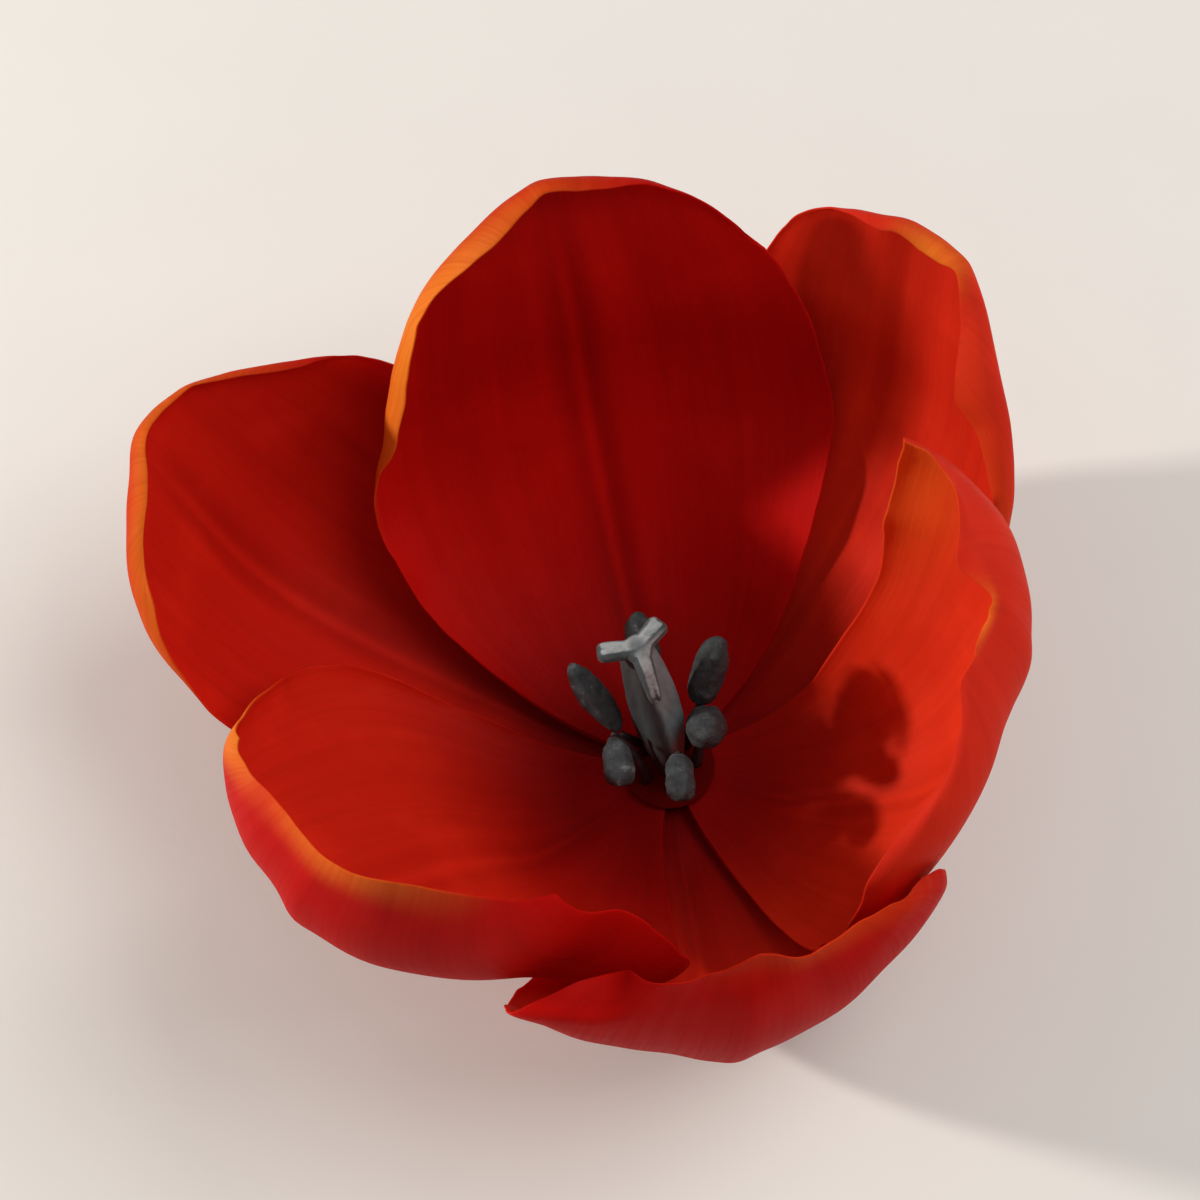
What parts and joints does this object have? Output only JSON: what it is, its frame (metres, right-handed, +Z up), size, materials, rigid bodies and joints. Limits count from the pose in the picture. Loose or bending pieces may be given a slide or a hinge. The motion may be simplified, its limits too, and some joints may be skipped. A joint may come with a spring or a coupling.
{
  "type": "tulip bloom",
  "caption": "Wide open red tulip bloom cut under the flower, cupped petals with curled orange rims round a column and dark stamens.",
  "frame": {"origin": "on the surface that the bloom rests on, under the middle of its outline", "axes": "+Z up along the flower's axis, +Y towards the back tepal, +X towards the right tepal"},
  "size_m": [0.1049, 0.0958, 0.0664],
  "materials": {
    "tepal": "soft satin petal skin, red with orange rims",
    "stalk": "matte green stalk, cut flush",
    "ovary": "matte grey",
    "stigma": "downy pale grey",
    "filament": "smooth charcoal",
    "anther": "powdery charcoal"
  },
  "bodies": {
    "root": {"stalk_end": "stalk", "back_tepal": "tepal", "left_tepal": "tepal", "front_left_tepal": "tepal", "front_tepal": "tepal", "right_tepal": "tepal", "back_right_tepal": "tepal", "ovary": "ovary", "stigma": "stigma", "filament_1": "filament", "filament_2": "filament", "filament_3": "filament", "filament_4": "filament", "filament_5": "filament", "filament_6": "filament", "anther_1": "anther", "anther_2": "anther", "anther_3": "anther", "anther_4": "anther", "anther_5": "anther", "anther_6": "anther"}
  },
  "joints": []
}
